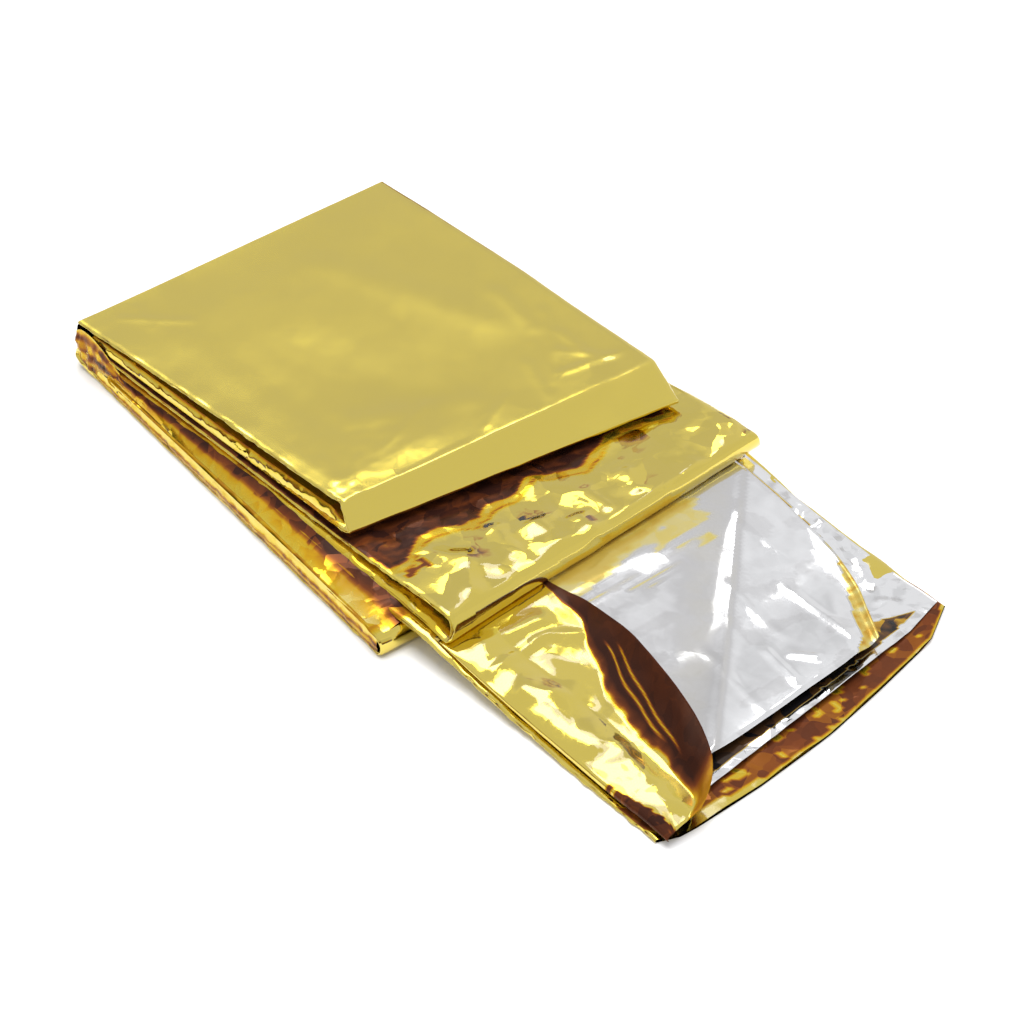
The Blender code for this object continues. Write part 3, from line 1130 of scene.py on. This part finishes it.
    def back_wrap(self, film: FilmMesh) -> None:
        """Adds the film that wraps the back end from the top run down to the bottom one.

        Args:
            film: The mesh to add to.
        """
        y = np.linspace(28.5, 230, 100)[:, None]
        share = np.linspace(0, 1, 18)[None, :]
        bulge = np.sin(math.pi * share) ** 0.6
        z = 26.9 * (1 - share) + 0.5 * share + 0 * y
        x = -278.6 - 3.4 * bulge - bulge * 0.7 * facets(y + 0 * share, z * 1.5, 43, 14)
        film.patch(np.stack((x, y + 0 * x, z), axis=2), Side.GOLD, 0.5, 0.97)

    def build(self, origin: np.ndarray, finishes: Finishes) -> bpy.types.Object:
        """Makes the strip.

        Args:
            origin: Where the tables' zero is in the frame, in metres.
            finishes: The materials of the two sides.

        Returns:
            The strip's object.
        """
        film = FilmMesh(self.name)
        self.outer(film)
        self.inner(film)
        self.top_side(film)
        self.middle_side(film)
        self.bottom_side(film)
        self.back_side(film)
        self.back_wrap(film)
        return film.build(origin, finishes)


# ------------------------------------------------------------------------------------------- the opened tail


@dataclass(frozen=True)
class Opening:
    """A section across the opened film.

    A sheet goes from the left fold to its free right edge. The flap goes from that fold to the place where it
    bends up, and on to its own free edge.
    """

    x: float
    left_y: float
    fold_low: float
    fold_high: float
    bend_y: float
    flap_y: float
    flap_z: float
    sheet_y: float
    sheet_z: float


OPENED = tuple(
    Opening(*row)
    for row in (
        (20.0, 18.0, 13.6, 14.0, 80.0, 84.0, 14.2, 214.0, 14.5),
        (31.0, 18.0, 12.1, 13.5, 80.0, 85.0, 14.6, 214.0, 12.5),
        (43.0, 18.0, 10.3, 12.5, 77.0, 85.5, 17.0, 214.0, 10.4),
        (58.0, 18.0, 8.7, 11.2, 73.0, 84.0, 20.0, 212.5, 8.8),
        (75.0, 18.0, 7.0, 10.0, 66.0, 81.0, 24.0, 210.0, 7.6),
        (90.0, 18.0, 5.8, 9.2, 57.0, 77.5, 26.8, 206.0, 6.8),
        (103.0, 18.0, 5.0, 8.8, 51.0, 73.5, 28.6, 201.0, 6.4),
        (117.0, 17.7, 4.5, 8.4, 46.5, 69.5, 29.6, 195.0, 6.1),
        (130.0, 17.3, 4.1, 8.2, 44.5, 65.5, 30.0, 187.0, 6.0),
        (144.0, 17.0, 3.8, 8.0, 43.5, 60.5, 30.0, 179.0, 6.0),
        (157.0, 17.0, 3.7, 8.0, 43.0, 55.5, 28.4, 171.0, 5.6),
        (168.0, 16.5, 3.6, 7.0, 38.0, 50.0, 22.0, 166.0, 5.0),
        (175.0, 16.0, 3.6, 6.0, 30.0, 42.0, 14.0, 160.0, 4.0),
        (178.0, 16.0, 3.4, 5.4, 22.0, 31.0, 7.0, 150.0, 4.0),
    )
)
# How far each opened film reaches along the tail, by the share of the way across it.
SHEET_END = np.array([(0.0, 157), (0.25, 153.5), (0.55, 152), (0.85, 150), (1.0, 147)])
BAND_END = np.array([(0.0, 167), (0.2, 163), (0.55, 157), (0.87, 150), (1.0, 143)])

SHEET_CREASES = tuple(
    Crease(*row)
    for row in (
        (90, 172, 146, 167, 0.95, 2.2, 0.8), (114, 133, 147, 125, 0.9, 2.2, 0.8),
        (126, 136, 141, 146, 0.8, 2.6, 0.8), (70, 152, 120, 144, 0.3, 2.6), (96, 112, 150, 100, 0.35, 2.4),
        (40, 190, 80, 185, 0.25, 3.0),
    )
)
FLAP_CREASES = tuple(
    Crease(*row)
    for row in (
        (52, 19, 47, 60, 0.8, 2.5), (47, 58, 60, 74, 0.6, 2.5), (66, 24, 90, 44, 1.1, 7.0, 0.9),
        (34, 26, 40, 70, 1.0, 5.0, 0.9), (118, 36, 150, 30, 0.8, 4.0, 0.9),
    )
)


@dataclass
class OpenedTail:
    """The films of the tail where they come apart: an opened sheet, the sheet under it and the flap."""

    step: float = 1.7
    end_crowding: float = 1.25
    columns: int = 110
    flap_columns: int = 70
    flap_flat_share: float = 0.45
    sheet_start_x: float = 13.0
    film_thickness: float = 0.12
    ridge_start: tuple[float, float] = (26.0, 207.0)
    ridge_end: tuple[float, float] = (156.0, 62.0)
    ridge_slant: float = 0.84
    ridge_height: float = 1.3
    ridge_left: float = 5.5
    ridge_right: float = 5.0
    left_rise: float = 0.035
    left_rise_reach: float = 75.0
    wave_height: float = 0.16
    wave_length: float = 70.0
    facet_height: float = 0.14
    facet_length: float = 34.0
    mouth_height: float = 4.6
    mouth_start_x: float = 88.0
    mouth_end_x: float = 155.0
    under_mouth_height: float = 2.2
    lip_width: float = 2.0
    lip_slope: float = 0.5
    curl_height: float = 3.0
    curl_width: float = 3.5
    right_y: float = 221.5
    hump_height: float = 2.3
    hump_width: float = 24.0
    flap_lift: float = 0.7
    flap_sway: float = 2.2
    flap_sway_length: float = 34.0
    flap_crumple: float = 0.9
    flap_crumple_length: float = 44.0
    flap_fine_crumple: float = 0.06
    flap_fine_length: float = 9.0
    # The two painted highlight streaks on the flap's raised part.
    painted_highlight_strength: float = 0.85
    painted_highlight_width: float = 0.022
    fold_columns: int = 8
    name: str = "foil_tail"

    def __post_init__(self) -> None:
        """Works the table out in small steps, with its corners rounded off."""
        given = np.array([row.x for row in OPENED])
        self.x = np.arange(given[0], given[-1] + 0.5, 0.5)
        self.table = {}
        for name in Opening.__dataclass_fields__:
            value = np.interp(self.x, given, [getattr(row, name) for row in OPENED])
            padded = np.pad(value, 10, mode="reflect", reflect_type="odd")
            self.table[name] = np.convolve(padded, np.ones(21) / 21, mode="valid")

    def at(self, name: str, x: np.ndarray) -> np.ndarray:
        """A column of the table at places along the tail."""
        return np.interp(x, self.x, self.table[name])

    def grid(self, end: np.ndarray) -> tuple[np.ndarray, np.ndarray, np.ndarray]:
        """The rows and columns of an opened film.

        Args:
            end: How far it reaches, by the share of the way across.

        Returns:
            The places along, the share of the way across, and the distance to the near edge.
        """
        share = np.linspace(0, 1, self.columns)[None, :]
        reach = np.interp(share, end[:, 0], end[:, 1])
        start = self.sheet_start_x
        rows = math.ceil((end[:, 1].max() - start) / self.step)
        even = np.linspace(0, 1, rows)[:, None]
        x = start + (reach - start) * (1 - (1 - even) ** self.end_crowding)
        return x, share, reach - x

    def opened(self, x: np.ndarray) -> np.ndarray:
        """How far the mouth is open at places along the tail, from 0 to 1."""
        return smooth((x - self.mouth_start_x) / (self.mouth_end_x - self.mouth_start_x))

    def aside(self, x: np.ndarray, y: np.ndarray) -> np.ndarray:
        """How far places are to the right of the sheet's ridge."""
        along = (x - self.ridge_start[0]) / (self.ridge_end[0] - self.ridge_start[0])
        return (y - self.ridge_start[1] - (self.ridge_end[1] - self.ridge_start[1]) * along) * math.sin(
            self.ridge_slant
        )

    def sheet(self, film: FilmMesh) -> None:
        """Adds the opened sheet, silver side up, with the ridge across it and its lifted near edge.

        Args:
            film: The mesh to add to.
        """
        x, share, to_edge = self.grid(SHEET_END)
        left, right = self.at("left_y", x), self.at("sheet_y", x)
        y = left + (right - left) * share
        z = self.at("fold_low", x) * (1 - share) + self.at("sheet_z", x) * share
        begins = smooth((x - 30) / 20)
        aside = self.aside(x, y)
        ridge = np.where(aside < 0, np.exp(aside / self.ridge_left), np.exp(-aside / self.ridge_right))
        ridge_begins = smooth((x - self.ridge_start[0]) / (self.ridge_end[0] - self.ridge_start[0]) * 4)
        z = z + ridge * self.ridge_height * ridge_begins
        z = z + self.left_rise * np.clip(-aside, 0, self.left_rise_reach) * smooth((y - 45) / 35) * begins
        z = z + self.mouth_height * self.opened(x) * smooth((share - 0.02) / 0.22) * smooth((1 - share) / 0.12)
        swell = self.wave_height * waves(x, y, 71, self.wave_length)
        z = z + begins * (swell + self.facet_height * facets(x, y, 72, self.facet_length))
        for crease in SHEET_CREASES:
            z = z + crease.over(x, y)
        z = z + self.curl_height * np.exp(-(right - y) / self.curl_width) * smooth((x - 60) / 50)
        over_edge = np.maximum(0.0, self.lip_width - to_edge)
        lip = self.lip_slope * over_edge**2 / (over_edge + 1.2)
        z = z - lip * smooth((y - 56) / 12) * smooth((right - y) / 10)
        tone = self.sheet_tones(x, y, aside, right - y)
        film.patch(np.stack((x, y, z), axis=2), Side.SILVER, 0.1, tone)

    def sheet_tones(self, x: np.ndarray, y: np.ndarray, aside: np.ndarray, inside: np.ndarray) -> np.ndarray:
        """The tones of the opened sheet.

        Args:
            x: Places along.
            y: Places across.
            aside: How far they are to the right of the ridge.
            inside: How far they are from the sheet's right edge.

        Returns:
            A tone for each place: silver, with painted shade at the left of the ridge and along it, a painted
            reflection of the second fold's gold beside it, and gold where the right edge and the near right
            corner roll over and show the gold side.
        """
        # Painted shade at the left of the ridge and along it.
        shaded = smooth((-aside - 1) / 6) * (0.035 + 0.035 * facets(x, y, 76, 24))
        shaded = shaded + 0.1 * np.exp(-(((aside + 15) / 12) ** 2))
        tone = 0.975 - shaded - 0.11 * np.exp(-(((aside - 1.0) / 1.9) ** 2))
        tone = tone - 0.03 * (facets(x, y, 73, 26) > 0.15) + 0.02 * facets(x, y, 80, 9)
        # The painted reflection of the second fold's gold, in streaks near it.
        mirrored = 0.8 * facets(x * 2.6 + y * 0.25, y * 0.45, 75, 16)
        mirrored = mirrored + smooth((38 - x) / 12) - 1.2 * smooth((x - 46) / 22)
        mirrored = np.where(aside < 0, mirrored - 1.5 * smooth((y - 166) / 22), -1)
        gold = 0.635 - 0.1 * smooth((mirrored - 0.8) * 5)
        tone = tone - (tone - gold) * smooth(mirrored * 3.4)
        # The gold side shows where the right edge and the near right corner roll over.
        rolled = 0.8 + 7.5 * smooth((x - 86) / 45)
        inside = inside + 0.6 * facets(x, y, 77, 8)
        tone = np.where((inside < rolled) & (x > 82), 0.54 + 0.26 * facets(x, y, 78, 7), tone)
        corner = (x > 132) & (inside < 0.9 * (x - 132))
        return np.where(corner, 0.5 + 0.25 * facets(x, y, 79, 7), tone)

    def band(self, film: FilmMesh) -> None:
        """Adds the sheet under the opened one, silver side up, which shows at the right and along the end.

        Args:
            film: The mesh to add to.
        """
        x, share, to_edge = self.grid(BAND_END)
        left = self.at("left_y", x) + 1
        y = left + (self.right_y - left) * share
        tail = np.interp(x, LEVEL_X, LEVEL_Z[Layer.TAIL.value])
        z = tail + 1.3 + 0.35 * (facets(x, y, 81, 16) + 0.5) * smooth((x - 30) / 20)
        z = z + self.under_mouth_height * self.opened(x) * np.sin(math.pi * share) ** 0.7
        # Painted shadow: nearly black under the opened sheet, back from its near edge.
        under = (y < self.at("sheet_y", x) + 1) & (to_edge > 4.5 + 1.2 * facets(x, y, 83, 8))
        tone = np.where(under, 0.02, 0.99 - 0.14 * smooth(facets(x, y, 82, 8)))
        tuck = (x > 132.8 + 0.37 * (y - 184.6)) & (x < 146.6 - 0.18 * (y - 181.8)) & (y > 178)
        tone = np.where(tuck, 0.26 + 0.3 * facets(x, y, 84, 6), tone)
        film.patch(np.stack((x, y, z), axis=2), Side.SILVER, 0.8, tone)

    def flap(self, film: FilmMesh) -> None:
        """Adds the flap, gold side up, round the left fold and up to its free edge.

        Args:
            film: The mesh to add to.
        """
        count = self.flap_columns
        along = np.arange(OPENED[0].x, OPENED[-1].x, self.step)[:, None]
        share = np.linspace(0, 1, count)[None, :]
        flat = np.minimum(1.0, share / self.flap_flat_share)
        rise = np.maximum(0.0, share - self.flap_flat_share) / (1 - self.flap_flat_share)
        left, bend, free = (self.at(n, along) for n in ("left_y", "bend_y", "flap_y"))
        low, high = self.at("fold_high", along), self.at("flap_z", along)
        x = np.broadcast_to(along, (len(along), count)).copy()
        amount = smooth((x - 24) / 20)
        wave = self.flap_sway * waves(x, x * 0, 95, self.flap_sway_length, 4) * amount
        y = left + (bend - left) * flat + (free - bend) * rise**0.75 + wave * flat * (1 - rise)
        z = low + self.flap_lift * flat + (high - low - self.flap_lift) * rise**1.1
        crumpled = self.flap_crumple * (facets(x, y, 91, self.flap_crumple_length) + 0.3)
        crumpled = crumpled + self.flap_fine_crumple * facets(x, y, 92, self.flap_fine_length)
        z = z + amount * crumpled * (1 - 0.7 * rise)
        hump = np.sin(math.pi * np.clip((y - left) / self.hump_width, 0, 1))
        z = z + amount * self.hump_height * hump * (1 + 0.25 * facets(x, y, 93, 20))
        for crease in FLAP_CREASES:
            z = z + crease.over(x, y) * (1 - rise)
        y = y + amount * rise * 0.35 * facets(x, z, 94, 26)
        fold = self.left_fold(along)
        grid = np.concatenate((fold, np.stack((x, y, z), axis=2)), axis=1)
        tone = self.flap_painted_light(x, y, rise, y - left)
        tone = np.concatenate((np.broadcast_to(tone[:, :1], fold.shape[:2]), tone), axis=1)
        crumple = np.where(rise > 0, 0.12, 0.42) + 0 * x
        crumple = np.concatenate((np.full(fold.shape[:2], 0.6), crumple), axis=1)
        film.patch(grid, Side.GOLD, crumple, tone)

    def left_fold(self, along: np.ndarray) -> np.ndarray:
        """Makes the fold between the opened sheet and the flap.

        Args:
            along: Places along the tail.

        Returns:
            The points in rows and columns.
        """
        low, high = self.at("fold_low", along), self.at("fold_high", along)
        radius = np.maximum(0.3, (high - low) / 2)
        angles = np.linspace(math.pi, 0, self.fold_columns)[None, :-1]
        y = self.at("left_y", along) - radius * np.sin(angles) * 0.8
        z = (high + low) / 2 - radius * np.cos(math.pi - angles)
        return np.stack((np.broadcast_to(along, y.shape), y, z), axis=2)

    def flap_painted_light(self, x: np.ndarray, y: np.ndarray, rise: np.ndarray, inside: np.ndarray) -> np.ndarray:
        """The tones of the flap.

        Args:
            x: Places along.
            y: Places across.
            rise: How far up its raised part they are, from 0 to 1.
            inside: How far they are from the left fold.

        Returns:
            A tone for each place: open film at the left, painted shade on the raised part with two painted
            highlight streaks and lighter towards its end, and painted shade along the left fold near the end.
        """
        depth = rise + 0.05 * facets(x, y, 96, 9)
        # The raised part is painted dark with shade and reflection, unevenly.
        tone = np.interp(depth, [0.0, 0.03, 0.07, 0.2, 1.0], [1, 0.6, 0.2, 0.0, 0.05])
        tone = tone * (1 + 0.6 * facets(x, rise * 30 + 0 * x, 97, 10)) * (rise > 0) + (rise <= 0) * 1.0
        # Two painted highlight streaks along the raised part.
        for begin, end, low_rise, high_rise in ((78, 150, 0.62, 0.28), (70, 140, 0.42, 0.2)):
            at = low_rise + (high_rise - low_rise) * (x - begin) / (end - begin)
            painted_highlight = smooth((x - begin) / 8) * smooth((end - x) / 12)
            tone = tone + self.painted_highlight_strength * painted_highlight * np.exp(-(((rise - at) / self.painted_highlight_width) ** 2))
        # The raised part is painted lighter near its end.
        tone = tone + 0.5 * smooth((x - 160) / 8) * (rise > 0)
        # A strip of painted shade along the left fold near the end.
        painted_dark_edge = 4.0 * smooth((x - 138) / 30) + 1.4 * facets(x, y, 98, 7)
        return np.where((inside < painted_dark_edge) & (x > 136), 0.04 + 0.2 * (facets(x, y, 99, 5) > 0.5), tone)

    def build(self, origin: np.ndarray, finishes: Finishes) -> bpy.types.Object:
        """Makes the opened films, each with its other side's finish underneath.

        Args:
            origin: Where the tables' zero is in the frame, in metres.
            finishes: The materials of the two sides.

        Returns:
            The tail's object.
        """
        film = FilmMesh(self.name)
        self.sheet(film)
        self.band(film)
        self.flap(film)
        made = film.build(origin, finishes)
        for side in (Side.SILVER, Side.GOLD):
            made.data.materials.append(finishes[side])
        shell = made.modifiers.new("film", "SOLIDIFY")
        shell.thickness = self.film_thickness * MM
        shell.offset = -1.0
        shell.material_offset = 2
        shell.material_offset_rim = 0
        return made


# ----------------------------------------------------------------------------------------------- the studio


@dataclass(frozen=True)
class Region:
    """A part of the studio's walls: from one turn to another, between two heights, in degrees, with edges that
    are soft over some more degrees."""

    turn: tuple[float, float]
    height: tuple[float, float]
    soft_turn: float
    soft_height: float

    def mask(self, turn: Wire, height: Wire) -> Wire:
        """1 in the region and 0 outside it."""
        return turn.between(*self.turn, self.soft_turn) * height.between(*self.height, self.soft_height)


@dataclass
class Studio:
    """The floor, the light and the camera. The walls and the soft boxes are angles all round the blanket, by
    their turn from +X towards +Y and their height."""

    floor_size: float = 12.0
    azimuth: float = 48.84
    elevation: float = 38.96
    distance: float = 1.5355
    lens: float = 110.45
    sensor: float = 36.0
    target: tuple[float, float, float] = (-41.5, 116.7, 0.0)
    horizon: tuple[float, float, float] = (0.060, 0.035, 0.028)
    low_wall: tuple[float, float, float] = (0.200, 0.090, 0.045)
    amber: tuple[float, float, float] = (0.50, 0.29, 0.07)
    pale: tuple[float, float, float] = (0.84, 0.84, 0.85)
    high: tuple[float, float, float] = (0.81, 0.81, 0.82)
    boxes: tuple[float, float, float] = (5.0, 5.0, 5.0)
    backdrop: tuple[float, float, float] = (0.93, 0.93, 0.93)
    open_side: Region = Region((-90, 131), (-90, 45), 4, 4)
    long_box: Region = Region((131.5, 160), (44.3, 48.5), 1.5, 0.8)
    large_box: Region = Region((137, 172), (46, 72), 1, 1.5)
    lamp_height: float = 2.6
    lamp_size: float = 1.6
    lamp_power: float = 42.0

    def floor(self) -> None:
        """Lays the pale floor."""
        half = self.floor_size / 2
        mesh = bpy.data.meshes.new("floor")
        corners = [(-half, -half, 0), (half, -half, 0), (half, half, 0), (-half, half, 0)]
        mesh.from_pydata(corners, [], [(0, 1, 2, 3)])
        mesh.materials.append(FloorFinish().material())
        floor = bpy.data.objects.new("floor", mesh)
        bpy.context.scene.collection.objects.link(floor)

    def walls(self) -> list[tuple[float, tuple[float, float, float]]]:
        """Lists the walls' colours by height, for a ramp.

        Returns:
            The stops, from the horizon to straight up.
        """
        dim, bright = (tuple(value * share for value in self.pale) for share in (0.84, 1.12))
        stops = [(0, self.horizon), (4, self.horizon), (6, self.low_wall), (9, self.low_wall)]
        stops += [(11, self.amber), (15, dim), (33, dim), (39, self.pale), (43.8, bright), (47, self.high)]
        return [(height / 90, colour) for height, colour in stops]

    def sky(self) -> None:
        """Lights the studio all round: pale walls, darker low down at the left and behind, and soft boxes."""
        world = bpy.data.worlds.new("studio")
        world.use_nodes = True
        bpy.context.scene.world = world
        shader = Shader(world.node_tree)
        way = shader.node("ShaderNodeTexCoord", output="Generated")
        x, y, z = (shader.node("ShaderNodeSeparateXYZ", inputs={0: way}, output=axis) for axis in "XYZ")
        height = z.math("ARCSINE", z) * math.degrees(1)
        turn = y.math("ARCTAN2", y, x) * math.degrees(1)
        turn = turn + turn.math("LESS_THAN", turn, 0.0) * 360.0
        sky = shader.node("ShaderNodeValToRGB", {"stops": self.walls()}, {"Fac": height * (1 / 90)})
        sky = shader.mix(self.open_side.mask(turn, height), sky, (*self.pale, 1.0))
        boxes = height.math("MAXIMUM", self.long_box.mask(turn, height), self.large_box.mask(turn, height))
        sky = shader.mix(boxes, sky, (*self.boxes, 1.0))
        seen = shader.node("ShaderNodeLightPath", output="Is Camera Ray")
        light = shader.node("ShaderNodeBackground", inputs={"Color": sky, "Strength": 1.0})
        plain = {"Color": (*self.backdrop, 1.0), "Strength": 1.0}
        plain = shader.node("ShaderNodeBackground", inputs=plain)
        both = shader.node("ShaderNodeMixShader", inputs={0: seen, 1: light, 2: plain})
        shader.node("ShaderNodeOutputWorld", inputs={"Surface": both})

    def lamp(self) -> None:
        """Hangs a large soft lamp high over the floor, to keep the floor bright."""
        data = bpy.data.lights.new("ceiling lamp", "AREA")
        data.shape = "SQUARE"
        data.size = self.lamp_size
        data.energy = self.lamp_power
        lamp = bpy.data.objects.new("ceiling lamp", data)
        lamp.location = (0.0, 0.0, self.lamp_height)
        lamp.visible_glossy = False
        bpy.context.scene.collection.objects.link(lamp)

    def camera(self, origin: np.ndarray) -> None:
        """Sets up the camera, aimed at a place in the tables' measure.

        Args:
            origin: Where the tables' zero is in the frame, in metres.
        """
        around, up = math.radians(self.azimuth), math.radians(self.elevation)
        back = Vector((math.sin(around) * math.cos(up), -math.cos(around) * math.cos(up), math.sin(up)))
        data = bpy.data.cameras.new("camera")
        data.lens = self.lens
        data.sensor_width = self.sensor
        camera = bpy.data.objects.new("camera", data)
        target = Vector(np.array(self.target) * MM + origin)
        camera.location = target + back * self.distance
        camera.rotation_euler = back.to_track_quat("Z", "Y").to_euler()
        bpy.context.scene.collection.objects.link(camera)
        bpy.context.scene.camera = camera

    def build(self, origin: np.ndarray) -> None:
        """Sets up the whole studio.

        Args:
            origin: Where the tables' zero is in the frame, in metres.
        """
        self.floor()
        self.sky()
        self.lamp()
        self.camera(origin)
        bpy.context.scene.view_settings.view_transform = "Standard"


def main() -> None:
    """Builds the blanket and its studio."""
    logging.basicConfig(level=logging.INFO)
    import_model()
    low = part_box(NODE)[0]
    origin = np.array([low[0] - BOX_LOW[0] * MM, low[1] - BOX_LOW[1] * MM, 0.0])
    finishes = {Side.GOLD: GOLD.material(), Side.SILVER: SILVER.material()}
    strip = PackedStrip().build(origin, finishes)
    tail = OpenedTail().build(origin, finishes)
    for piece in (strip, tail):
        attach(piece, "root")
        LOG.info("%s: %d faces", piece.name, len(piece.data.polygons))
    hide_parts(NODE)
    Studio().build(origin)


if __name__ == "__main__":
    main()
